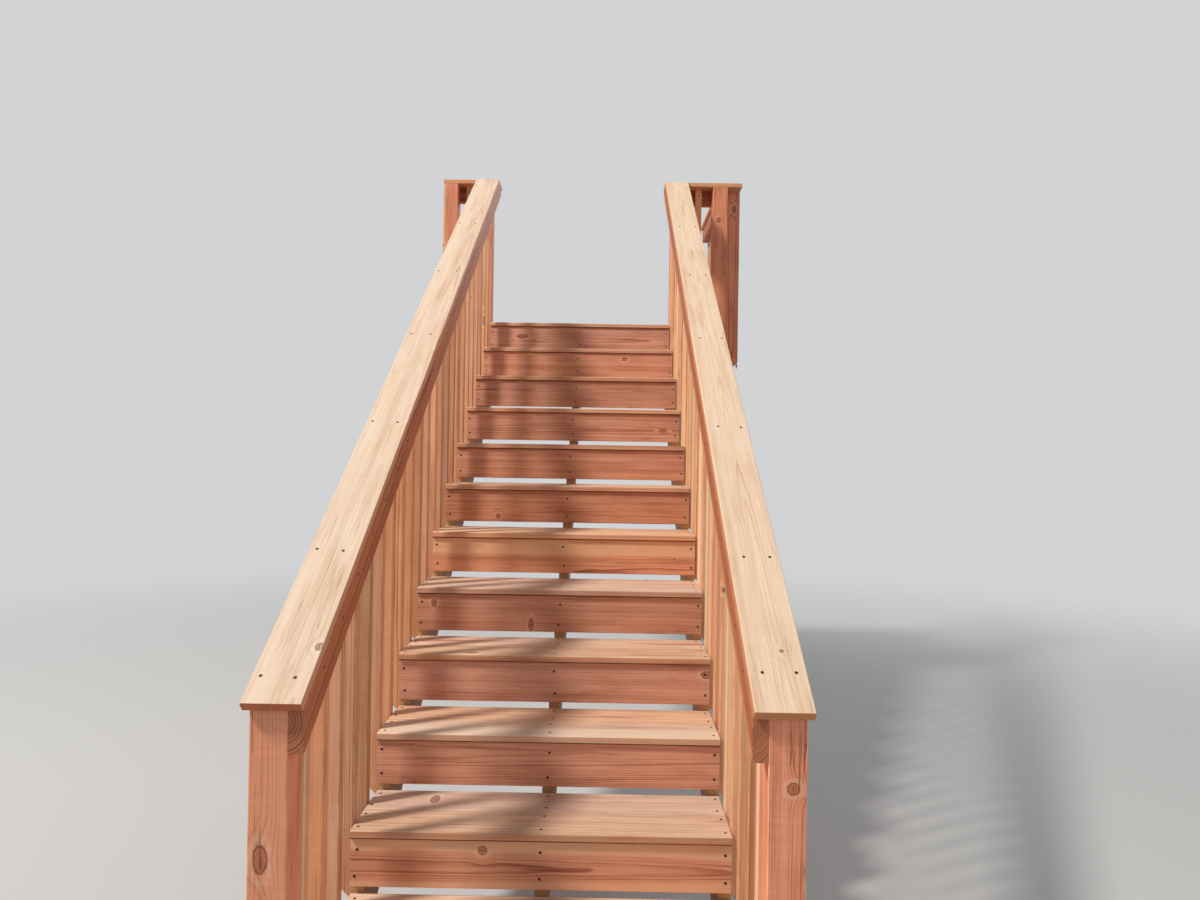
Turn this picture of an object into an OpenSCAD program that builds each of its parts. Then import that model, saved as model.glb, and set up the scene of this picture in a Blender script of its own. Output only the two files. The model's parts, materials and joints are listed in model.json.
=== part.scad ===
// Straight timber deck stairs with open-gap risers, board treads and slatted guards.
// +X is to the right as seen from the foot, +Y runs up the flight, +Z is up.
// The origin lies on the back face of the landing's rear header, at half its height.

/* [Flight] */
// Height of one step
rise = 188; // [160:1:200]
// Depth of one step, nosing to nosing
run = 260; // [240:1:300]
// Length of the tread boards
tread_len = 1090; // [850:1:1250]
// Gap between the tread ends and the balusters
end_gap = 2; // [1:0.5:4]

/* [Tread and riser boards] */
// Thickness of the tread and landing boards
tread_t = 25; // [22:1:38]
// Radius of the long edges of the tread boards
tread_edge = 5; // [2:0.5:8]
// Gap between neighbouring boards
board_gap = 3; // [2:1:8]
// Gap behind the rear tread board
back_gap = 6; // [3:1:12]
// Thickness of the riser boards
riser_t = 19; // [16:1:25]
// Overhang of the nosing in front of the riser
nosing = 10; // [6:1:20]
// Open slot under each riser board
riser_slot = 23; // [15:1:40]

/* [Stringers] */
// Thickness of a stringer
stringer_t = 38; // [30:1:50]
// Depth of the stringer plank, square to the slope
stringer_d = 286; // [260:1:310]

/* [Landing frame] */
// Distance from the landing's nosing back to the rim
landing_nose = 123; // [110:1:140]
// Thickness of the rim, header and joists
joist_t = 38; // [30:1:50]
// Height of the rim, header and joists
joist_d = 286; // [250:1:310]
// Clear width of the short guard left of the stairs
left_bay = 126; // [110:1:300]
// Clear width of the short guard right of the stairs
right_bay = 168; // [110:1:300]

/* [Guards] */
// Side of the square posts
post = 89; // [80:1:100]
// Side of the square balusters
baluster = 38; // [32:1:42]
// Thickness of the rail under the cap
rail_t = 38; // [30:1:45]
// Depth of the rail under the cap
rail_d = 89; // [70:1:120]
// Thickness of the cap board
cap_t = 25; // [20:1:38]
// Overhang of the caps, outside the stair posts and inside the landing rails
cap_lip = 13; // [5:1:20]
// Overhang of the cap in front of the foot newel
cap_nose = 10; // [2:1:25]
// Height of the level guards above the landing
guard_h = 880; // [780:5:950]
// Setback of the foot newel behind the lowest nosing
newel_back = 58; // [30:1:100]
// Gap between the foot newel and the first baluster
first_gap = 20; // [10:1:60]
// Largest gap between balusters
max_gap = 94; // [80:1:99]
// Length of the balusters and posts below the nosing line
tail = 244; // [220:1:270]
// Length of the landing posts below the landing surface
post_tail = 300; // [260:1:305]

/* [Hidden] */
// Number of risers in the flight
steps = 13;
// Boards across the landing
landing_boards_n = 7;
// Points along each rounded board edge
edge_steps = 4;
// Margin by which a cut runs past a face
over = 1;
slope = rise / run;
stretch = sqrt(run * run + rise * rise) / run;
board_w = (run + nosing + riser_t - back_gap - board_gap) / 2;
riser_h = rise - tread_t - riser_slot;
landing_len = landing_boards_n * (board_w + board_gap) - board_gap;
z_land = joist_d / 2 + tread_t;
z_ground = z_land - steps * rise;
z_frame = z_land - tread_t - joist_d;
y_top = -landing_len;
y_rim = y_top + landing_nose;
y_rim_back = y_rim + joist_t;
y_posts = y_rim - post;
y_cap_back = y_rim + rail_t + cap_lip;
side_x = tread_len / 2 + end_gap;
rail_x = side_x - rail_t;
newel_x = side_x + post;
cap_w = rail_t + post + cap_lip;
left_x = newel_x + left_bay + post;
right_x = newel_x + right_bay + post;
z_cap = z_land + guard_h;
z_under = z_cap - cap_t;
// Heights above the nosing line, taken plumb
under_h = guard_h - cap_t - (y_posts - y_top) * slope;
rail_low_h = under_h - rail_d * stretch;
cap_top_h = under_h + cap_t * stretch;
outer_h = -tread_t - (nosing + riser_t) * slope;
belly_h = outer_h - stringer_d * stretch;
y_foot = nose_y(1);
y_newel = y_foot + newel_back;
y_first = y_newel + post + first_gap;
stair_span = y_posts - y_first;
stair_count = ceil(stair_span / (baluster + max_gap));
stair_pitch = stair_span / stair_count;
y_level_top = y_top + (guard_h - cap_top_h) / slope;

redwood = [0.72, 0.42, 0.27];
redwood_pale = [0.86, 0.64, 0.44];
redwood_dark = [0.55, 0.30, 0.21];

// Front edge of the nosing of step i, counted from the ground
function nose_y(i) = y_top - (steps - i) * run;
// Walking surface of step i
function step_z(i) = z_ground + i * rise;
// Height of the nosing line at y
function line_z(y) = z_land + (y - y_top) * slope;
// Outline of a board end, t thick and w wide, with rounded corners of radius r
function board_pts(w, t, r) = [
    for (c = [[w - r, t - r, 0], [r, t - r, 90], [r, r, 180], [w - r, r, 270]])
        for (k = [0:edge_steps])
            [c[0] + r * cos(c[2] + 90 * k / edge_steps), c[1] + r * sin(c[2] + 90 * k / edge_steps)]
];

// Extrudes a [y, z] outline along X from x to x + w
module along_x(x, w, pts) {
    translate([x, 0, 0])
        rotate([90, 0, 90])
            linear_extrude(height = w)
                polygon(pts);
}

// Box from corner a to corner b
module block(a, b) {
    translate(a)
        cube(b - a);
}

// Wedge that bevels a post foot towards +X, w wide, from y to y + d, lowest at z
module bevel_x(x, w, y, d, z) {
    translate([0, y + d + over, 0])
        rotate([90, 0, 0])
            linear_extrude(height = d + 2 * over)
                polygon([
                    [x - over, z + w + over],
                    [x + w + over, z - over],
                    [x + w + over, z - 2 * over],
                    [x - over, z - 2 * over]
                ]);
}

module stringer(x) {
    teeth = [
        for (i = [1:steps - 1])
            for (p = [0, 1])
                [nose_y(i + p) + nosing + riser_t, step_z(i) - tread_t]
    ];
    along_x(x, stringer_t, concat(
        [[nose_y(1) + nosing + riser_t, z_ground]],
        teeth,
        [[nose_y(steps) + nosing + riser_t, z_land - tread_t],
         [y_rim, z_land - tread_t],
         [y_rim, line_z(y_rim) + belly_h],
         [y_top + (z_ground - z_land - belly_h) / slope, z_ground]]
    ));
}

module tread(i) {
    color(redwood_pale)
        for (k = [0, 1])
            along_x(-tread_len / 2, tread_len, [
                for (p = board_pts(board_w, tread_t, tread_edge))
                    [nose_y(i) + k * (board_w + board_gap) + p[0], step_z(i) - tread_t + p[1]]
            ]);
}

module foot_newel(x) {
    along_x(x, post, [
        [y_newel, z_ground],
        [y_newel + post, z_ground],
        [y_newel + post, line_z(y_newel + post) + under_h],
        [y_newel, line_z(y_newel) + under_h]
    ]);
}

module sloped_rail(x) {
    along_x(x, rail_t, [
        [y_newel, line_z(y_newel) + rail_low_h],
        [y_rim, line_z(y_rim) + rail_low_h],
        [y_rim, z_under],
        [y_posts, z_under],
        [y_newel, line_z(y_newel) + under_h]
    ]);
}

module sloped_cap(x) {
    y_end = y_newel - cap_nose;
    back = cap_t * slope / stretch;
    along_x(x, cap_w, [
        [y_end, line_z(y_end) + under_h],
        [y_posts, z_under],
        [y_level_top, z_cap],
        [y_end - back, line_z(y_end) + under_h + cap_t / stretch]
    ]);
}

module level_cap(x) {
    along_x(x, cap_w, [
        [y_posts, z_under],
        [y_cap_back, z_under],
        [y_cap_back, z_cap],
        [y_level_top, z_cap]
    ]);
}

module stair_balusters(x) {
    for (k = [0:stair_count - 1]) {
        y = y_first + k * stair_pitch;
        low = line_z(y) - tail;
        difference() {
            along_x(x, baluster, [
                [y, low],
                [y + baluster, low],
                [y + baluster, line_z(y + baluster) + under_h],
                [y, line_z(y) + under_h]
            ]);
            bevel_x(x, baluster, y, baluster, low);
        }
    }
}

// Post or baluster on the front face of the rim, its foot bevelled towards the front
module front_picket(x, w, low) {
    along_x(x, w, [
        [y_rim, low],
        [y_rim, z_under],
        [y_rim - w, z_under],
        [y_rim - w, low + w]
    ]);
}

// Post or baluster on the outer face of the side joist, its foot bevelled outwards
module side_picket(y, w, low) {
    translate([0, y + w, 0])
        rotate([90, 0, 0])
            linear_extrude(height = w)
                polygon([
                    [right_x, low],
                    [right_x + w, low + w],
                    [right_x + w, z_under],
                    [right_x, z_under]
                ]);
}

// Balusters spread over a clear bay of width w that starts at x
module bay_balusters(x, w) {
    n = ceil((w - max_gap) / (baluster + max_gap));
    gap = (w - n * baluster) / (n + 1);
    for (k = [0:n - 1])
        front_picket(x + gap + k * (baluster + gap), baluster, z_land - post_tail);
}

module stringer_left() {
    color(redwood_dark)
        stringer(-side_x);
}

module stringer_middle() {
    color(redwood_dark)
        stringer(-stringer_t / 2);
}

module stringer_right() {
    color(redwood_dark)
        stringer(side_x - stringer_t);
}

module tread_01() tread(1);
module tread_02() tread(2);
module tread_03() tread(3);
module tread_04() tread(4);
module tread_05() tread(5);
module tread_06() tread(6);
module tread_07() tread(7);
module tread_08() tread(8);
module tread_09() tread(9);
module tread_10() tread(10);
module tread_11() tread(11);
module tread_12() tread(12);

module risers() {
    color(redwood)
        for (i = [1:steps])
            block(
                [-tread_len / 2, nose_y(i) + nosing, step_z(i) - tread_t - riser_h],
                [tread_len / 2, nose_y(i) + nosing + riser_t, step_z(i) - tread_t]
            );
}

module rim_joist() {
    color(redwood_dark)
        block([-left_x, y_rim, z_frame], [right_x, y_rim_back, z_land - tread_t]);
}

module rear_header() {
    color(redwood_dark)
        block([-left_x, -joist_t, z_frame], [right_x, 0, z_land - tread_t]);
}

module joists() {
    color(redwood_dark)
        for (x = [-left_x, -side_x, -joist_t / 2, side_x - joist_t])
            block([x, y_rim_back, z_frame], [x + joist_t, -joist_t, z_land - tread_t]);
}

module side_joist() {
    color(redwood_dark)
        block([right_x - joist_t, y_rim_back, z_frame], [right_x, -joist_t, z_land - tread_t]);
}

module landing_boards() {
    color(redwood_pale)
        for (k = [0:landing_boards_n - 1]) {
            x_left = k == 0 ? tread_len / 2 : left_x;
            x_right = k == 0 ? tread_len / 2 : right_x;
            along_x(-x_left, x_left + x_right, [
                for (p = board_pts(board_w, tread_t, tread_edge))
                    [y_top + k * (board_w + board_gap) + p[0], z_land - tread_t + p[1]]
            ]);
        }
}

module newel_left() {
    color(redwood)
        foot_newel(-newel_x);
}

module newel_right() {
    color(redwood)
        foot_newel(side_x);
}

module top_newel_left() {
    color(redwood)
        front_picket(-newel_x, post, z_land - post_tail);
}

module top_newel_right() {
    color(redwood)
        front_picket(side_x, post, z_land - post_tail);
}

module rail_left() {
    color(redwood)
        sloped_rail(-side_x);
}

module rail_right() {
    color(redwood)
        sloped_rail(rail_x);
}

module cap_left() {
    color(redwood_pale)
        sloped_cap(-rail_x - cap_w);
}

module cap_right() {
    color(redwood_pale)
        sloped_cap(rail_x);
}

module top_cap_left() {
    color(redwood_pale)
        level_cap(-rail_x - cap_w);
}

module top_cap_right() {
    color(redwood_pale)
        level_cap(rail_x);
}

module balusters_left() {
    color(redwood)
        stair_balusters(-side_x - baluster);
}

module balusters_right() {
    color(redwood)
        stair_balusters(side_x);
}

module end_post_left() {
    color(redwood)
        front_picket(-left_x, post, z_land - post_tail);
}

module corner_post_front() {
    color(redwood)
        front_picket(right_x - post, post, z_land - post_tail);
}

module corner_post_side() {
    color(redwood)
        side_picket(y_rim, post, z_land - post_tail);
}

module return_rails() {
    color(redwood) {
        block([-left_x, y_rim, z_under - rail_d], [-side_x, y_rim + rail_t, z_under]);
        block([side_x, y_rim, z_under - rail_d], [right_x, y_rim + rail_t, z_under]);
    }
}

module return_caps() {
    color(redwood_pale) {
        block([-left_x, y_posts, z_under], [-rail_x - cap_w, y_cap_back, z_cap]);
        block([rail_x + cap_w, y_posts, z_under], [right_x + post, y_cap_back, z_cap]);
    }
}

module return_balusters() {
    color(redwood) {
        bay_balusters(-newel_x - left_bay, left_bay);
        bay_balusters(newel_x, right_bay);
    }
}

module side_rail() {
    color(redwood)
        block([right_x - rail_t, y_rim + rail_t, z_under - rail_d], [right_x, 0, z_under]);
}

module side_cap() {
    color(redwood_pale)
        block([right_x - rail_t - cap_lip, y_cap_back, z_under], [right_x + post, 0, z_cap]);
}

module side_balusters() {
    span = -y_rim - post;
    n = ceil(span / (baluster + max_gap));
    color(redwood)
        for (k = [1:n])
            side_picket(-span + k * span / n - baluster, baluster, z_land - post_tail);
}

stringer_left();
stringer_middle();
stringer_right();
tread_01();
tread_02();
tread_03();
tread_04();
tread_05();
tread_06();
tread_07();
tread_08();
tread_09();
tread_10();
tread_11();
tread_12();
risers();
rim_joist();
rear_header();
joists();
side_joist();
landing_boards();
newel_left();
newel_right();
top_newel_left();
top_newel_right();
rail_left();
rail_right();
cap_left();
cap_right();
top_cap_left();
top_cap_right();
balusters_left();
balusters_right();
end_post_left();
corner_post_front();
corner_post_side();
return_rails();
return_caps();
return_balusters();
side_rail();
side_cap();
side_balusters();
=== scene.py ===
"""Wooden deck stairs: redwood with its grain, knots, screws and bolts, in a plain studio."""

import json
import math
import random

import bmesh
import bpy
from mathutils import Matrix, Vector


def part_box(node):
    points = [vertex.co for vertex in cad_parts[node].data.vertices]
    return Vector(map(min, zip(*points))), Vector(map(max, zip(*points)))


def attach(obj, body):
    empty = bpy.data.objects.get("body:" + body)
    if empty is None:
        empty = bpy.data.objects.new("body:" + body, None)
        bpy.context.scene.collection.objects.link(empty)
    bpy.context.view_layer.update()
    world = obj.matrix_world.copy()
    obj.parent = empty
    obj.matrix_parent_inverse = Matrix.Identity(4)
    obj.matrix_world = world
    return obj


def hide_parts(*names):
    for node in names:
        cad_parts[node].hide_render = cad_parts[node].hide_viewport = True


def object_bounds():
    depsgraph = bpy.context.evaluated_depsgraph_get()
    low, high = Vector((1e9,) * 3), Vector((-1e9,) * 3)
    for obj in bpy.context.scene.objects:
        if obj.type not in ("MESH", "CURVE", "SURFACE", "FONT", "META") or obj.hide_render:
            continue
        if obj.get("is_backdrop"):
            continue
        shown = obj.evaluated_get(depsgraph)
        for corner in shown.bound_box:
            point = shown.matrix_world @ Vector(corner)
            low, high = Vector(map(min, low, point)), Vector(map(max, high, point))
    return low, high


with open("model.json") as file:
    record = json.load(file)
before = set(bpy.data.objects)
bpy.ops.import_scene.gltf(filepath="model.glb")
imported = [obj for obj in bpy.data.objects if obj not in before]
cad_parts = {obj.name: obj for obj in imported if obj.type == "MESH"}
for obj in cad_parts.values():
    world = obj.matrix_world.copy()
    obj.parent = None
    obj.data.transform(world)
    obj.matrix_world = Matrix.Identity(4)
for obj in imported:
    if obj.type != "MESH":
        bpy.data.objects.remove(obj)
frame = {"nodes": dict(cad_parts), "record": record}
cad_low, cad_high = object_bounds()
nodes = frame["nodes"]
slot_of = {p["node"]: p["material_slot"] for p in frame["record"]["subparts"]}
MM = 0.001
X, Y, Z = Vector((1, 0, 0)), Vector((0, 1, 0)), Vector((0, 0, 1))


def link(name, data):
    """A new object in the scene."""
    made = bpy.data.objects.new(name, data)
    bpy.context.scene.collection.objects.link(made)
    return made


# Node graphs
class Number:
    """A number in a Graph; arithmetic on it adds Math nodes."""

    def __init__(self, graph, socket):
        self.graph, self.socket = graph, socket

    def __add__(self, other):
        return self.graph.math("ADD", self, other)

    __radd__ = __add__

    def __sub__(self, other):
        return self.graph.math("SUBTRACT", self, other)

    def __rsub__(self, other):
        return self.graph.math("SUBTRACT", other, self)

    def __mul__(self, other):
        return self.graph.math("MULTIPLY", self, other)

    __rmul__ = __mul__

    def __truediv__(self, other):
        return self.graph.math("DIVIDE", self, other)


class Graph:
    """A node tree, with a short way to add each kind of node."""

    def __init__(self, tree):
        self.tree = tree

    def node(self, kind, inputs=(), **props):
        made = self.tree.nodes.new("ShaderNode" + kind)
        for name, value in props.items():
            setattr(made, name, value)
        for key, value in dict(inputs).items():
            self.feed(made.inputs[key], value)
        return made

    def feed(self, socket, value):
        if isinstance(value, Number):
            value = value.socket
        if isinstance(value, bpy.types.NodeSocket):
            self.tree.links.new(value, socket)
        else:
            socket.default_value = value

    def math(self, operation, *values):
        return Number(self, self.node("Math", enumerate(values), operation=operation).outputs[0])

    def step(self, value, low, high):
        """0 below low, 1 above high and a soft change between them."""
        inputs = {"Value": value, "From Min": low, "From Max": high}
        made = self.node("MapRange", inputs, interpolation_type="SMOOTHSTEP")
        return Number(self, made.outputs["Result"])

    def bell(self, value, sharpness):
        """1 where value is 0, falling to 0 on both sides."""
        return self.math("EXPONENT", value * value * -sharpness)

    def vector(self, x, y, z):
        return self.node("CombineXYZ", {0: x, 1: y, 2: z}).outputs[0]

    def split(self, socket):
        made = self.node("SeparateXYZ", {0: socket})
        return [Number(self, out) for out in made.outputs]

    def attribute(self, name):
        return self.split(self.node("Attribute", attribute_name=name).outputs["Vector"])

    def noise(self, x, y, z, w, detail=1.0, roughness=0.5):
        """Noise about 0.5."""
        inputs = {"Vector": self.vector(x, y, z), "W": w, "Scale": 1.0,
                  "Detail": detail, "Roughness": roughness}
        return Number(self, self.node("TexNoise", inputs, noise_dimensions="4D").outputs[0])

    def hashed(self, x, y):
        """Three random numbers from 0 to 1 that depend on x and y."""
        inputs = {"Vector": self.vector(x, y, 0.0)}
        made = self.node("TexWhiteNoise", inputs, noise_dimensions="2D")
        return self.split(made.outputs["Color"])

    def mix(self, amount, a, b, blend="MIX"):
        inputs = {0: amount, 6: a, 7: b}
        return self.node("Mix", inputs, data_type="RGBA", blend_type=blend).outputs[2]


def new_material(name, kind=Graph):
    """(material, its graph, its Principled shader)"""
    material = bpy.data.materials.new(name)
    material.use_nodes = True
    tree = material.node_tree
    return material, kind(tree), tree.nodes["Principled BSDF"]


def linear(r, g, b):
    """An sRGB colour in 0-255 as the linear numbers that a node takes."""
    def one(v):
        v /= 255
        return v / 12.92 if v < 0.04045 else ((v + 0.055) / 1.055) ** 2.4
    return (one(r), one(g), one(b), 1.0)


def tinted(colour, factors):
    """A colour times one factor each for red, green and blue."""
    return [c * f for c, f in zip(colour, factors)] + [1.0]


# Woods. Their shaders read what dress() writes on the boards; lengths in them are in mm.
KNOT_CELL = 430.0  # length of board that holds at most one small knot
KNOT_FREE = 0.74  # share of these lengths without one
SMALL_KNOT = 11.0  # radius of the largest small knot
NO_KNOT = (-9000.0, 0.0, 0.0)  # place along the grain, turn about the pith, radius
NO_SAPWOOD = 900.0  # distance from the pith that no board reaches
# The third colour is painted shade for the roundings that face down, under the nosings
KNOT_WOOD, DARK_WOOD, UNDER_SHADE_COLOUR = linear(158, 84, 52), linear(84, 44, 29), linear(70, 34, 22)
PLAIN_ENDS = ((0.72, 0.72, 0.72), (0.34, 0.34, 0.34))  # factors of the early and the late wood
PALE_END, RED_END = (1.2, 1.05, 0.9, 1.0), (1.0, 0.5, 0.33, 1.0)  # factors again
LINE_PEAK = 0.93  # where in a ring the late wood is darkest and stops
BUMP_DEPTH = 0.5 * MM


class Timber(Graph):
    """The graph of a wood at a point of a board: x runs along the pith, y and z across it."""

    def __init__(self, tree):
        super().__init__(tree)
        self.x, self.y, self.z = self.attribute("grain")
        self.seed, self.tone, self.sap_from = self.attribute("board")
        self.end, self.eased, self.coarse = self.attribute("face")
        self.offset = self.seed * 91.7

    def own(self, factor):
        """A number from 0 to 1 of the board's own; each factor gives another one."""
        return self.math("FRACT", self.seed * factor)

    def spots(self, length, width, detail=1.0, roughness=0.5, shift=0.0):
        """Noise about 0.5 in spots of this length along the grain and width across it."""
        w = self.offset + shift if shift else self.offset
        return self.noise(self.x / length, self.y / width, self.z / width, w, detail, roughness)

    def knot(self, at_x, turn, size, stretch):
        """A knot is a branch that leaves the pith at at_x, turn being its angle about the pith.

        Gives how far the point is inside, how far the rings bulge round the knot, how dark its
        rim and its crack are, its own rings and the pale wood beside it.
        """
        cosine, sine = self.math("COSINE", turn), self.math("SINE", turn)
        out = self.y * cosine + self.z * sine
        across = self.z * cosine - self.y * sine
        along = self.x - at_x
        wobble = self.spots(9, 9) - 0.5
        grown = size * self.step(out, 2.0, 45.0) + 0.001  # thinner near the pith
        reach = self.math("SQRT", along * along * stretch + across * across)
        u = reach / grown + wobble * 0.45  # 1 at the rim
        inside = 1.0 - self.step(u, 0.88, 1.0)
        bulge = self.bell(u, 0.21) * size * 0.6
        rim = self.bell(u - 0.96, 110.0)
        crack = self.bell(across / (size * 0.09 + 0.05) + wobble * 3.0, 1.0)
        crack = crack * (1.0 - self.step(u, 0.5, 0.8)) * inside
        rings = self.math("SINE", u * 24.0 + wobble * 4.0) * 0.5 + 0.5
        halo = self.bell(u - 1.5, 6.0) * self.step(size, 2.0, 8.0)
        return inside, bulge, self.math("MAXIMUM", rim, crack), inside * rings, halo

    def knots(self):
        """What knot() gives, in pairs: of the knot that dress() sets and of a small one."""
        stretch = 0.15 + 0.75 * self.own(71.3)
        slide = self.seed * 17.3
        cell = self.math("FLOOR", self.x / KNOT_CELL + slide)
        along, turn, chance = self.hashed(cell, self.seed)
        small_x = (cell + 0.2 + along * 0.6 - slide) * KNOT_CELL
        excess = self.math("MAXIMUM", chance - KNOT_FREE, 0.0)
        small_r = excess * (SMALL_KNOT / (1.0 - KNOT_FREE))
        return zip(self.knot(*self.attribute("knot"), stretch),
                   self.knot(small_x, turn * 2.6 + 0.27, small_r, stretch))


def wood(name, early, late, sap, ring, contrast, saw=0.3, wander=12.0, thin=0.35,
         side_weather_and_shade=(1.0, 1.0, 1.0), checks=0.0, ends=PLAIN_ENDS, red_ends=False, painted_under_shade=0.0):
    """Solid wood with rings about a pith, sapwood, fibres, streaks, knots and saw marks.

    early, late, sap: sRGB colours of the early wood, the late wood and the sapwood
    ring, contrast: width of the rings and how strongly their late wood shows
    saw, checks: strength of the saw marks and of the drying cracks
    wander: how far the rings stray from round
    thin: where in a ring the late wood begins, from 0 to 1
    side_weather_and_shade: tint of all faces but the upward ones; partly the weather's bleaching
    of the tops, partly painted shade that darkens and reddens the sides and nosings
    ends, red_ends: factors of early and late wood on sawn ends; whether some ends are redder
    painted_under_shade: darkness of the roundings that face down, a painted shade line under the
    nosings
    """
    material, g, shader = new_material(name, Timber)
    early, late, sap = linear(*early), linear(*late), linear(*sap)
    insides, bulges, darks, knot_rings, halos = g.knots()
    in_knot, dark = g.math("MAXIMUM", *insides), g.math("MAXIMUM", *darks)

    # Rings, by the distance from the pith
    slow = g.spots(1100, 70) - 0.5
    quick = g.spots(160, 16) - 0.5
    radius = g.math("SQRT", g.y * g.y + g.z * g.z) + slow * wander + quick * 1.6
    radius = radius + bulges[0] + bulges[1]
    phase = radius / (g.coarse * ring * (0.7 + 0.7 * g.own(53.1)))
    part = g.math("FRACT", phase)
    chance = g.hashed(g.math("FLOOR", phase), g.seed)[0]
    strength = 0.22 + 0.5 * chance + 0.6 * g.math("POWER", chance, 5.0)
    line = g.step(part, thin, LINE_PEAK) * (1.0 - g.step(part, LINE_PEAK, 1.0)) * strength
    band = g.noise(radius / 16, g.seed * 7, 0.0, g.offset) - 0.5

    # Fibres, streaks, patches, marks of the saw, worn edges and drying cracks
    fibre = g.spots(60, 0.7, 3.0, 0.62)
    streak = g.spots(420, 4.5, 3.0, 0.65) - 0.5
    patch = g.spots(220, 40, 3.0) - 0.5
    sawn = g.spots(7, 90, 2.0) - 0.5
    worn = g.step(g.spots(45, 12, 2.0, shift=7.1), 0.44, 0.6) * g.eased
    crack = g.bell(g.spots(520, 11, 2.0, shift=3.3) - 0.5, 6000.0)
    crack = crack * g.step(patch, 0.02, 0.12) * checks

    colour = g.mix(line * contrast + streak * 1.1 + band * 0.7 + patch * 0.8 + 0.12, early, late)
    sapwood = g.step(radius + slow * 10.0, g.sap_from - 3.0, g.sap_from + 3.0)
    colour = g.mix(sapwood * 0.85, colour, g.mix(line * 0.3 + streak * 0.3, sap, early))
    colour = g.mix((halos[0] + halos[1]) * 0.35, colour, sap)
    knot_shade = 0.45 + 0.35 * (knot_rings[0] + knot_rings[1])
    colour = g.mix(in_knot * knot_shade, colour, KNOT_WOOD)
    colour = g.mix(g.math("MAXIMUM", dark * 0.75, crack * 0.7), colour, DARK_WOOD)
    colour = g.mix(worn * 0.5, colour, sap)

    # Sawn ends
    cut = g.mix(line * 0.9 + band * 0.5, tinted(early, ends[0]), tinted(late, ends[1]))
    if red_ends:
        cut = g.mix(1.0, cut, g.mix(g.own(61.7), PALE_END, RED_END), "MULTIPLY")
    colour = g.mix(g.step(g.end, 0.5, 0.8) * 0.88, colour, cut)

    # Weather and painted shade, by how far the surface faces up: the tops keep the bleached
    # colour, the other faces get a tint that is partly unbleached wood and partly painted shade
    facing = g.split(g.node("NewGeometry").outputs["Normal"])[2]
    side_colour_weather_and_shade = g.mix(1.0, colour, (*side_weather_and_shade, 1.0), "MULTIPLY")
    colour = g.mix(1.0 - g.step(facing, 0.35, 0.8), colour, side_colour_weather_and_shade)
    # Painted shade: the roundings that face down are darkened to stand in for the shadow line
    # under the nosings, not for dirt
    if painted_under_shade:
        down = facing * -1.0
        rounding = g.step(down, 0.02, 0.22) * (1.0 - g.step(down, 0.9, 0.99))
        colour = g.mix(rounding * painted_under_shade, colour, UNDER_SHADE_COLOUR)

    # Each board's own tone and tint
    level = g.tone * (0.83 + 0.34 * fibre + sawn * saw * 0.3) * (1.0 + 0.06 * g.eased)
    tint = g.own(29.9) * 1.3 - 0.65 + patch * 0.9
    warm = g.vector(*(level * (1.0 + share * tint) for share in (0.04, -0.06, -0.22)))
    g.feed(shader.inputs["Base Color"], g.mix(1.0, colour, warm, "MULTIPLY"))
    g.feed(shader.inputs["Roughness"], 0.62 + (fibre - 0.5) * 0.25 - in_knot * 0.12)
    shader.inputs["Specular IOR Level"].default_value = 0.32
    height = fibre * 0.5 + line * 0.35 - dark * 0.6 - crack * 1.5 + in_knot * 0.3 + sawn * saw
    bump = g.node("Bump", {"Height": height, "Strength": 0.45, "Distance": BUMP_DEPTH})
    g.feed(shader.inputs["Normal"], bump.outputs[0])
    return material


WOOD_LOOKS = {
    "frame_wood": dict(
        early=(196, 142, 106), late=(144, 90, 66), sap=(214, 172, 130), ring=2.8, contrast=0.7,
        saw=0.6, checks=0.6, ends=((1.2, 1.6, 1.5), (0.7, 0.8, 0.6))),
    "board_wood": dict(
        early=(240, 204, 174), late=(188, 132, 106), sap=(242, 214, 186), ring=2.4, contrast=0.8,
        # board_wood's last tints paint shade on the sides of the boards and a shade line under the
        # nosings
        wander=6.0, side_weather_and_shade=(0.85, 0.65, 0.55), checks=0.5, painted_under_shade=0.85),
    "riser_wood": dict(
        early=(226, 162, 130), late=(150, 86, 68), sap=(234, 186, 150), ring=2.2, contrast=0.85,
        wander=6.0, checks=0.5),
    "post_wood": dict(
        early=(236, 154, 116), late=(158, 76, 54), sap=(240, 190, 152), ring=3.2, contrast=0.7,
        saw=0.8, wander=4.0, thin=0.62, checks=1.0),
    "rail_wood": dict(
        early=(196, 122, 86), late=(134, 70, 48), sap=(214, 160, 116), ring=2.2, contrast=0.75,
        wander=8.0, checks=0.5, ends=((1.0, 1.0, 1.0), (0.45, 0.45, 0.45))),
    "baluster_wood": dict(
        early=(242, 182, 138), late=(180, 102, 70), sap=(246, 206, 160), ring=2.2, contrast=0.75,
        saw=0.5, wander=8.0),
    "cap_wood": dict(
        early=(240, 210, 178), late=(208, 156, 122), sap=(242, 220, 190), ring=2.2, contrast=0.5,
        # cap_wood's side tint is partly unbleached wood and partly painted shade on the caps'
        # sides and ends
        wander=9.0, side_weather_and_shade=(0.84, 0.55, 0.39), checks=0.4, red_ends=True),
}
WOODS = {slot: wood(slot, **look) for slot, look in WOOD_LOOKS.items()}

PATINA_SPOTS = 900.0  # per metre


def steel(name, colour, metallic, rough):
    """Metal with a patina in fine spots."""
    material, g, shader = new_material(name)
    place = g.node("TexCoord").outputs["Object"]
    patina = g.noise(*(v * PATINA_SPOTS for v in g.split(place)), 0.0, 3.0)
    g.feed(shader.inputs["Base Color"], g.mix(patina, colour, tinted(colour, (0.55, 0.55, 0.55))))
    g.feed(shader.inputs["Roughness"], rough + (patina - 0.5) * 0.3)
    shader.inputs["Metallic"].default_value = metallic
    return material


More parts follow.
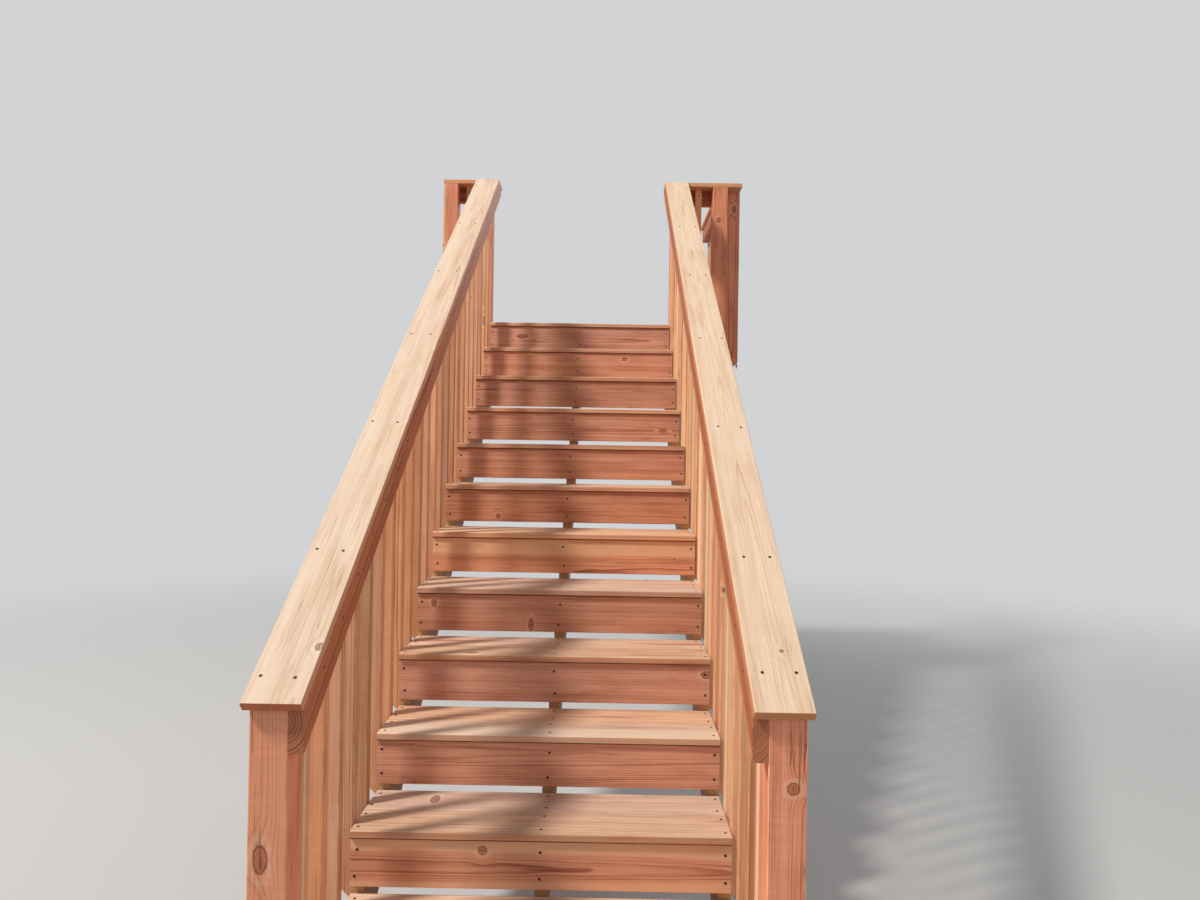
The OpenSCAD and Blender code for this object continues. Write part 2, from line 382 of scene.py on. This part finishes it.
SCREW = steel("screw_coating", linear(74, 58, 46), 0.35, 0.5)
ZINC = steel("bolt_zinc", linear(168, 170, 172), 0.9, 0.42)


# Boards
MERGE = 1e-5  # metres between corners that are one
FLAT = math.radians(0.4)  # angle between faces that are one
CORNER = 0.6  # radians; edges that turn by more are eased
SHARP = math.radians(42)  # edges that turn by more aren't shaded smooth


def islands(bm):
    """The vertices of each connected part of a bmesh."""
    seen, found = set(), []
    for first in bm.verts:
        if first in seen:
            continue
        seen.add(first)
        group = [first]
        for v in group:  # grows until all neighbours are in it
            for e in v.link_edges:
                w = e.other_vert(v)
                if w not in seen:
                    seen.add(w)
                    group.append(w)
        found.append(group)
    return found


def solids(node):
    """Each solid of a CAD node as its own bmesh with whole flat faces, in order of Y, X and Z."""
    whole = bmesh.new()
    whole.from_mesh(nodes[node].data)
    bmesh.ops.remove_doubles(whole, verts=whole.verts, dist=MERGE)
    made = []
    for group in islands(whole):
        kept = set(group)
        bm = bmesh.new()
        new = {v: bm.verts.new(v.co) for v in group}
        for f in whole.faces:
            if f.verts[0] in kept:
                bm.faces.new([new[v] for v in f.verts])
        bm.normal_update()
        bmesh.ops.dissolve_limit(bm, angle_limit=FLAT, verts=bm.verts, edges=bm.edges)
        bmesh.ops.recalc_face_normals(bm, faces=bm.faces)
        made.append(bm)
    whole.free()

    def place(bm):
        return tuple(round(min(v.co[k] for v in bm.verts), 3) for k in (1, 0, 2))
    return sorted(made, key=place)


def boxes(node):
    """(lowest corner, highest corner) of each solid of a CAD node."""
    found = []
    for bm in solids(node):
        spans = list(zip(*(v.co for v in bm.verts)))
        found.append((Vector([min(s) for s in spans]), Vector([max(s) for s in spans])))
        bm.free()
    return found


def board_axes(bm):
    """(centre, axes, sizes) of a board: along its longest edge, across it and through it."""
    longest = max(bm.edges, key=lambda e: round(e.calc_length(), 5))
    along = (longest.verts[1].co - longest.verts[0].co).normalized()
    if max(along, key=abs) < 0:
        along.negate()
    side = Y if abs(along.x) > 0.9 else X
    other = along.cross(side).normalized()

    def extent(axis):
        dots = [v.co.dot(axis) for v in bm.verts]
        return max(dots) - min(dots), (max(dots) + min(dots)) / 2
    wide, thin = sorted([(extent(a), tuple(a)) for a in (side, other)], reverse=True)
    axes = [along, Vector(wide[1]), Vector(thin[1])]
    centre = sum((extent(a)[1] * a for a in axes), Vector())
    return centre, axes, (extent(along)[0], wide[0][0], thin[0][0])


def local(point, centre, axes):
    """A point in mm along, across and through a board from its centre."""
    away = Vector(point) - centre
    return [away.dot(axis) / MM for axis in axes]


def ease(bm, along, side_r, end_r):
    """Rounds the long edges by side_r and the sawn ones by end_r, and marks the new faces."""
    mark = bm.faces.layers.int.new("eased")

    def outer(parallel):
        found = []
        for e in bm.edges:
            if len(e.link_faces) != 2 or e.calc_face_angle_signed(0) < CORNER:
                continue
            d = (e.verts[1].co - e.verts[0].co).normalized()
            if (abs(d.dot(along)) > 0.999) == parallel:
                found.append(e)
        return found
    for parallel, offset, segments in ((True, side_r, 3), (False, end_r, 1)):
        edges = outer(parallel)
        if edges and offset > 0:
            made = bmesh.ops.bevel(bm, geom=edges, offset=offset, offset_type="OFFSET",
                                   segments=segments, profile=0.5, affect="EDGES",
                                   clamp_overlap=True)
            for f in made["faces"]:
                f[mark] = 1


class Look:
    """How the boards of a slot are made.

    side_r, end_r: roundings of the long and of the sawn edges, in mm
    pith: where the pith lies, a key of PITHS
    tone: range of the boards' brightness
    sap: share of the boards with sapwood
    coarse: factor of the rings' width
    """

    def __init__(self, side_r, end_r, pith="flat", tone=(0.9, 1.06), sap=0.3, coarse=1.0):
        self.side_r, self.end_r = side_r, end_r
        self.pith, self.tone = pith, tone
        self.sap, self.coarse = sap, coarse


LOOKS = {
    "frame_wood": Look(2.5, 0.8),
    "board_wood": Look(0.0, 0.9, tone=(0.86, 1.08), sap=0.2),
    "riser_wood": Look(4.0, 0.7, tone=(0.86, 1.1), sap=0.05),
    "post_wood": Look(3.0, 0.9, pith="post", coarse=1.3),
    "rail_wood": Look(2.2, 0.8, coarse=2.4),
    "baluster_wood": Look(2.4, 0.7, pith="any", tone=(0.74, 1.14), sap=0.4, coarse=1.3),
    "cap_wood": Look(3.2, 0.9, tone=(0.95, 1.04)),
}
# Nodes whose boards differ from their slot's: (factor of the tone, share with sapwood). These are
# painted light and shade: the right guard's balusters brighter, with more sapwood, as if sunlit,
# and the left guard's darker, as if in shade
PAINTED_SUN_AND_SHADE = {"balusters_left": (0.94, 0.12), "balusters_right": (1.14, 0.7)}
# The pith's place: how far aside, in widths for flat boards and else in mm, and how deep, in mm
PITHS = {"flat": (0.8, (25, 130)), "post": (15, (-20, 60)), "any": (30, (20, 120))}
LOG_LENGTH = 4000  # mm of grain in which a board begins
KNOTTY = 0.2  # share of the boards with a larger knot
# Boards seen closely: (seed, tone, a point of the pith, the knot's centre on the face, the knot's
# radius), with points in metres and the radius in mm
HERO = {
    "newel_left": (0.31, 1.08, (-0.622, -3.980, -1.6), (-0.605, -4.060, -1.565), 16),
    "newel_right": (0.18, 1.24, (0.652, -3.985, -1.4), (0.607, -4.060, -1.382), 12),
    "cap_left": (0.47, 1.0, (-0.540, -3.90, -1.15), (-0.522, -3.950, -1.104), 9),
    "cap_right": (0.812, 1.05, (0.585, -3.90, -1.16), (0.593, -3.941, -1.098), 5),
    "rail_left": (0.564, 0.94, (-0.568, -4.040, -1.225), (-0.509, -3.300, -0.710), 7),
    "corner_post_front": (0.12, 0.92, (0.850, -0.880, 0.6), (0.842, -0.964, 0.82), 13),
}
HERO_SLANT = (0.004, -0.006)


class Log:
    """How a board lies in its log, in mm along, across and through the board from its centre."""

    def __init__(self, rng, look, painted_light_factor, sap_share, length, width, thick):
        aside, depth = PITHS[look.pith]
        unit = width if look.pith == "flat" else 1.0
        self.pith = (rng.uniform(-aside, aside) * unit, -thick / 2 - rng.uniform(*depth))
        self.slant = (rng.uniform(-0.003, 0.003), rng.uniform(-0.004, 0.004))
        self.seed, self.tone = rng.random(), rng.uniform(*look.tone) * painted_light_factor
        self.shift = rng.uniform(0, LOG_LENGTH)
        reach = math.hypot(width / 2, thick / 2 - self.pith[1])
        has_sap = rng.random() < sap_share
        self.sap_from = reach * rng.uniform(0.72, 0.95) if has_sap else NO_SAPWOOD
        self.knot = NO_KNOT
        if rng.random() < KNOTTY:
            across = rng.uniform(-0.4, 0.4) * width
            along = rng.uniform(-0.45, 0.45) * length
            self.set_knot(along, across, thick / 2, rng.uniform(5, 13))

    def set_knot(self, along, across, through, radius):
        turn = math.atan2(through - self.pith[1], across - self.pith[0])
        self.knot = (self.shift + along, turn, radius)

    def grain(self, along, across, through):
        """A point's place along the log's pith and across it."""
        return (along + self.shift, across - self.pith[0] + along * self.slant[0],
                through - self.pith[1] + along * self.slant[1])


def dress(node):
    """A piece that stands for a CAD node: its solids with eased edges, each with its own grain."""
    slot = slot_of[node]
    look = LOOKS[slot]
    # Painted light and shade: the balusters of one guard are made brighter and those of the other
    # darker than their slot's boards
    painted_light_factor, sap_share = PAINTED_SUN_AND_SHADE.get(node, (1.0, look.sap))
    rng = random.Random(node)
    verts, faces, grain, board, knot, face_kind = [], [], [], [], [], []
    for bm in solids(node):
        centre, axes, sizes = board_axes(bm)
        ease(bm, axes[0], look.side_r * MM, look.end_r * MM)
        mark = bm.faces.layers.int["eased"]
        if rng.random() < 0.5:
            axes[2] = -axes[2]
        log = Log(rng, look, painted_light_factor, sap_share, *(size / MM for size in sizes))
        if node in HERO:
            log.seed, log.tone, pith, spot, radius = HERO[node]
            log.pith, log.slant = local(pith, centre, axes)[1:], HERO_SLANT
            log.sap_from = NO_SAPWOOD
            log.set_knot(*local(spot, centre, axes), radius)
        for v in bm.verts:
            v.index = len(verts)
            verts.append(v.co.copy())
            grain.append(log.grain(*local(v.co, centre, axes)))
        for f in bm.faces:
            faces.append([v.index for v in f.verts])
            board.append((log.seed, log.tone, log.sap_from))
            knot.append(log.knot)
            face_kind.append((abs(f.normal.dot(axes[0])), float(f[mark]), look.coarse))
        bm.free()
    mesh = bpy.data.meshes.new(node + "_wood")
    mesh.from_pydata(verts, [], faces)
    for name, domain, values in (("grain", "POINT", grain), ("board", "FACE", board),
                                 ("knot", "FACE", knot), ("face", "FACE", face_kind)):
        layer = mesh.attributes.new(name, "FLOAT_VECTOR", domain)
        layer.data.foreach_set("vector", [n for value in values for n in value])
    mesh.materials.append(WOODS[slot])
    finish_piece(mesh, node + "_wood", slot, node)


def finish_piece(mesh, name, slot=None, *replaced):
    """Links a mesh as a piece of the object, shaded smooth over its rounded edges only."""
    mesh.validate()
    mesh.shade_smooth()
    mesh.set_sharp_from_angle(angle=SHARP)
    piece = link(name, mesh)
    piece.modifiers.new("even", "WEIGHTED_NORMAL").keep_sharp = True
    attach(piece, "root")
    if replaced:
        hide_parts(*replaced)


for name in sorted(nodes):
    dress(name)


# Screws and bolts
def circle(radius, sides):
    """The corners of a regular polygon about the origin."""
    turns = [math.tau * k / sides for k in range(sides)]
    return [(radius * math.cos(turn), radius * math.sin(turn)) for turn in turns]


def lathe(profile, sides):
    """A closed turned solid about Z from its (radius, height) outline, as (vertices, faces)."""
    verts, faces, rows = [], [], []
    for r, h in profile:
        row = [(x, y, h) for x, y in circle(r, sides)] if r else [(0, 0, h)]
        rows.append(range(len(verts), len(verts) + len(row)))
        verts += row
    for a, b in zip(rows, rows[1:]):
        for k in range(sides):
            n = (k + 1) % sides
            if len(a) == 1:
                faces.append([a[0], b[k], b[n]])
            elif len(b) == 1:
                faces.append([a[k], b[0], a[n]])
            else:
                faces.append([a[k], b[k], b[n], a[n]])
    return verts, faces


# Outlines in mm over the wood, from the middle of the top to the hidden end: a screw's flat head
# with its recess, and a domed bolt head on its washer
SCREW_HEAD = lathe([(0, 0.1), (1.6, 0.1), (2.0, 0.7), (3.9, 0.7), (4.4, 0.3), (4.4, -2.0),
                    (0, -2.0)], 12)
BOLT_HEAD = lathe([(0, 7.0), (4.5, 6.6), (8.6, 5.0), (11.2, 2.4), (11.6, 1.6), (17.5, 1.6),
                   (17.5, -1.0), (0, -1.0)], 24)
FASTENERS = {
    "tread_screws": (SCREW_HEAD, SCREW),
    "riser_screws": (SCREW_HEAD, SCREW),
    "cap_screws": (SCREW_HEAD, SCREW),
    "rail_screws": (SCREW_HEAD, SCREW),
    "baluster_screws": (SCREW_HEAD, SCREW),
    "post_bolts": (BOLT_HEAD, ZINC),
}
# Places of the fasteners, in mm
TREAD_EDGE, RISER_EDGE = 28, 32  # from the board's edges
FIRST_ROW = {"left": 37, "right": 66}  # from the newel's front to the first screws of a cap
CAP_ROWS = ((38, 6), (118, 5))  # (distance, stray) from the rail's inner face
UNDER_CAP = (48, 6)  # (distance, stray) from a baluster's top to its screw through the rail
OUTER_FACE = 76  # of the balusters, from the rail's inner face
FEET = (82, 138)  # from a baluster's lowest point to its screws in the stringer
NEWEL_BOLTS = (70, 165)  # from the newel's foot
RIM_BOLTS = (85, 60)  # from the rim joist's lower and upper edge
RIM_SCREWS = (75, 150)  # from the rim joist's lower edge
GUARD_SCREW = 42  # from a landing baluster's top
CAP_END, CAP_PITCH = 0.03, 0.35  # metres from the ends of a level cap and between its screws
CAP_SHARES = (0.24, 0.76)  # of a level cap's width
heads = {name: [] for name in FASTENERS}  # (place in metres, the way the head faces)
rng = random.Random("screws")


def fasten(name):
    """Makes one piece of all the fasteners of a kind."""
    shape, material = FASTENERS[name]
    verts, faces = [], []
    rng = random.Random(name)
    for place, facing in heads[name]:
        turn = Matrix.Rotation(rng.uniform(0, math.tau), 3, "Z")
        pose = Vector(facing).to_track_quat("Z", "Y").to_matrix() @ turn
        base = len(verts)
        verts += [Vector(place) + pose @ (Vector(v) * MM) for v in shape[0]]
        faces += [[i + base for i in f] for f in shape[1]]
    mesh = bpy.data.meshes.new(name)
    mesh.from_pydata(verts, [], faces)
    bm = bmesh.new()
    bm.from_mesh(mesh)
    bmesh.ops.recalc_face_normals(bm, faces=bm.faces)
    bm.to_mesh(mesh)
    bm.free()
    mesh.materials.append(material)
    finish_piece(mesh, name)


def put(name, x, y, z, facing):
    heads[name].append(((x, y, z), facing))


def jitter(amount):
    """Up to this many mm to either side, in metres."""
    return rng.uniform(-amount, amount) * MM


def near(distance, stray):
    """A distance in mm that strays to either side, in metres."""
    return (distance + rng.uniform(-stray, stray)) * MM


def middle(low, high, axis):
    return (low[axis] + high[axis]) / 2


stringers = [boxes("stringer_" + side)[0] for side in ("left", "middle", "right")]
stringer_x = [middle(*box, 0) for box in stringers]
joist_x = [middle(*box, 0) for box in boxes("joists") + boxes("side_joist")]

for node in sorted(n for n in nodes if n.startswith("tread_") or n == "landing_boards"):
    for k, (low, high) in enumerate(boxes(node)):
        # The landing's first board is screwed to the stringers, the others to the joists.
        for x in joist_x if node == "landing_boards" and k else stringer_x:
            for y in (low.y + TREAD_EDGE * MM, high.y - TREAD_EDGE * MM):
                put("tread_screws", x + jitter(4), y + jitter(3), high.z, Z)
for low, high in boxes("risers"):
    for x in stringer_x:
        for z in (low.z + RISER_EDGE * MM, high.z - RISER_EDGE * MM):
            put("riser_screws", x + jitter(4), low.y, z + jitter(3), -Y)

# Sloped guards: screws through the cap, through the rail into each baluster and through its foot
for side, sign in (("left", -1), ("right", 1)):
    rail_low, rail_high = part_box("rail_" + side)
    newel_low, newel_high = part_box("newel_" + side)
    inner = rail_high.x if side == "left" else rail_low.x
    outer = inner + sign * OUTER_FACE * MM
    rows = [newel_low.y + FIRST_ROW[side] * MM]
    for k, (low, high) in enumerate(boxes("balusters_" + side)):
        y = middle(low, high, 1)
        if k % 4 == 2:  # the cap is screwed down at every fourth baluster
            rows.append(y)
        put("rail_screws", inner, y + jitter(3), high.z - near(*UNDER_CAP), -X * sign)
        for up_by in FEET:
            put("baluster_screws", outer, y + jitter(2), low.z + up_by * MM, X * sign)
    cap = solids("cap_" + side)[0]
    top = max(cap.faces, key=lambda f: f.calc_area() * (f.normal.z > 0.5))
    normal, on_top = top.normal.copy(), top.verts[0].co.copy()
    cap.free()
    slope = -normal.y / normal.z
    for row in rows:
        for x in [inner + sign * near(*place) for place in CAP_ROWS]:
            y = row + jitter(4)
            put("cap_screws", x, y, on_top.z + slope * (y - on_top.y), normal)
    newel_face = newel_high.x if side == "right" else newel_low.x
    for up_by in NEWEL_BOLTS:
        y = middle(newel_low, newel_high, 1) + jitter(8)
        put("post_bolts", newel_face, y, newel_low.z + up_by * MM, X * sign)

# Landing guards
rim_low, rim_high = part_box("rim_joist")
bolt_z = (rim_low.z + RIM_BOLTS[0] * MM, rim_high.z - RIM_BOLTS[1] * MM)
foot_z = [rim_low.z + up_by * MM for up_by in RIM_SCREWS]
for node in ("top_newel_left", "top_newel_right", "end_post_left", "corner_post_front"):
    low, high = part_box(node)
    for z in bolt_z:
        put("post_bolts", middle(low, high, 0) + jitter(5), low.y, z, -Y)
low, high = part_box("corner_post_side")
for z in bolt_z:
    put("post_bolts", high.x, middle(low, high, 1) + jitter(5), z, X)
for low, high in boxes("return_balusters"):
    for z in (*foot_z, high.z - GUARD_SCREW * MM):
        put("baluster_screws", middle(low, high, 0) + jitter(2), low.y, z, -Y)
for low, high in boxes("side_balusters"):
    for z in (*foot_z, high.z - GUARD_SCREW * MM):
        put("baluster_screws", high.x, middle(low, high, 1) + jitter(2), z, X)
for node in ("top_cap_left", "top_cap_right", "return_caps", "side_cap"):
    along, across = (1, 0) if node == "side_cap" else (0, 1)
    for low, high in boxes(node):
        length, width = high[along] - low[along], high[across] - low[across]
        gaps = max(1, round(length / CAP_PITCH))
        for k in range(gaps + 1):
            for share in CAP_SHARES:
                place = [0.0, 0.0]
                place[along] = low[along] + (CAP_END + (length - 2 * CAP_END) * k / gaps)
                place[across] = low[across] + width * share
                put("cap_screws", place[0] + jitter(3), place[1] + jitter(3), high.z, Z)

for name in FASTENERS:
    fasten(name)


# Studio: a floor that fades into the backdrop
FLOOR_RADIUS, FLOOR_SIDES = 14, 64
FADE = (2.6, 9.0)  # metres from the centre where the floor begins to fade and where it is gone
FLOOR_COLOUR, BACKDROP = (0.62, 0.62, 0.615, 1), (0.64, 0.65, 0.66, 1)
SKY, SKY_STRENGTH = (0.90, 0.95, 1.0, 1), 0.27
# Disk lamps, aimed at the centre: (place, diameter in metres, power in watts, colour)
LAMPS = {
    "key": ((-7.6, -6.9, 8.8), 1.6, 1530, (1.0, 0.96, 0.90)),
    "fill": ((6.0, -8.0, 3.0), 5.0, 90, (1, 1, 1)),
    "rear": ((3.0, 7.0, 5.0), 4.0, 220, (1, 1, 1)),
}
centre = (cad_low + cad_high) / 2

floor_mesh = bpy.data.meshes.new("studio_floor")
ring = [(centre.x + x, centre.y + y, cad_low.z) for x, y in circle(FLOOR_RADIUS, FLOOR_SIDES)]
floor_mesh.from_pydata(ring, [], [list(range(FLOOR_SIDES))])
floor = link("studio_floor", floor_mesh)
floor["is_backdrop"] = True
floor_material, g, shader = new_material("studio_floor")
shader.inputs["Base Color"].default_value = FLOOR_COLOUR
shader.inputs["Roughness"].default_value = 0.9
shader.inputs["Specular IOR Level"].default_value = 0.1
place = g.split(g.node("NewGeometry").outputs["Position"])
dx, dy = place[0] - centre.x, place[1] - centre.y
gone = g.step(g.math("SQRT", dx * dx + dy * dy), *FADE)
clear = g.node("BsdfTransparent")
mixed = g.node("MixShader", {0: gone, 1: shader.outputs[0], 2: clear.outputs[0]})
g.feed(g.tree.nodes["Material Output"].inputs["Surface"], mixed.outputs[0])
floor_mesh.materials.append(floor_material)

# The world lights the boards as a dim sky; the camera and clear reflections see a pale backdrop.
world = bpy.data.worlds.new("studio")
bpy.context.scene.world = world
world.use_nodes = True
g = Graph(world.node_tree)
sky = g.tree.nodes["Background"]
sky.inputs["Color"].default_value = SKY
sky.inputs["Strength"].default_value = SKY_STRENGTH
pale = g.node("Background", {"Color": BACKDROP, "Strength": 1.0})
ray = g.node("LightPath")
seen = g.math("MAXIMUM", ray.outputs["Is Camera Ray"], ray.outputs["Is Glossy Ray"])
seen = g.math("MAXIMUM", seen, ray.outputs["Is Transmission Ray"])
mixed = g.node("MixShader", {0: seen, 1: sky.outputs[0], 2: pale.outputs[0]})
g.feed(g.tree.nodes["World Output"].inputs["Surface"], mixed.outputs[0])

for name, (place, size, power, colour) in LAMPS.items():
    light = bpy.data.lights.new(name, "AREA")
    light.shape, light.size, light.energy, light.color = "DISK", size, power, colour
    lamp = link(name, light)
    lamp.location = place
    lamp.rotation_mode = "QUATERNION"
    lamp.rotation_quaternion = (centre - Vector(place)).to_track_quat("-Z", "Y")

# The camera stands where the photograph's did: its angles turn it right, up and its right side up
EYE = (0.1643, -5.8915, -0.6316)
YAW, PITCH, ROLL = (math.radians(angle) for angle in (-0.343, 0.356, 0.909))
FOCAL, PHOTO_WIDTH = 804.8, 1200  # pixels
SENSOR = 36.0  # mm
camera = bpy.data.cameras.new("camera")
camera.sensor_fit = "HORIZONTAL"
camera.sensor_width = SENSOR
camera.lens = FOCAL / PHOTO_WIDTH * SENSOR
eye = link("camera", camera)
ahead = Vector((math.sin(YAW) * math.cos(PITCH), math.cos(YAW) * math.cos(PITCH), math.sin(PITCH)))
level = ahead.cross(Z).normalized()
upright = level.cross(ahead)
right = level * math.cos(ROLL) + upright * math.sin(ROLL)
up = upright * math.cos(ROLL) - level * math.sin(ROLL)
turned = Matrix((right, up, -ahead)).transposed().to_4x4()
eye.matrix_world = Matrix.Translation(EYE) @ turned
bpy.context.scene.camera = eye
bpy.context.scene.view_settings.view_transform = "Standard"

low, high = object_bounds()
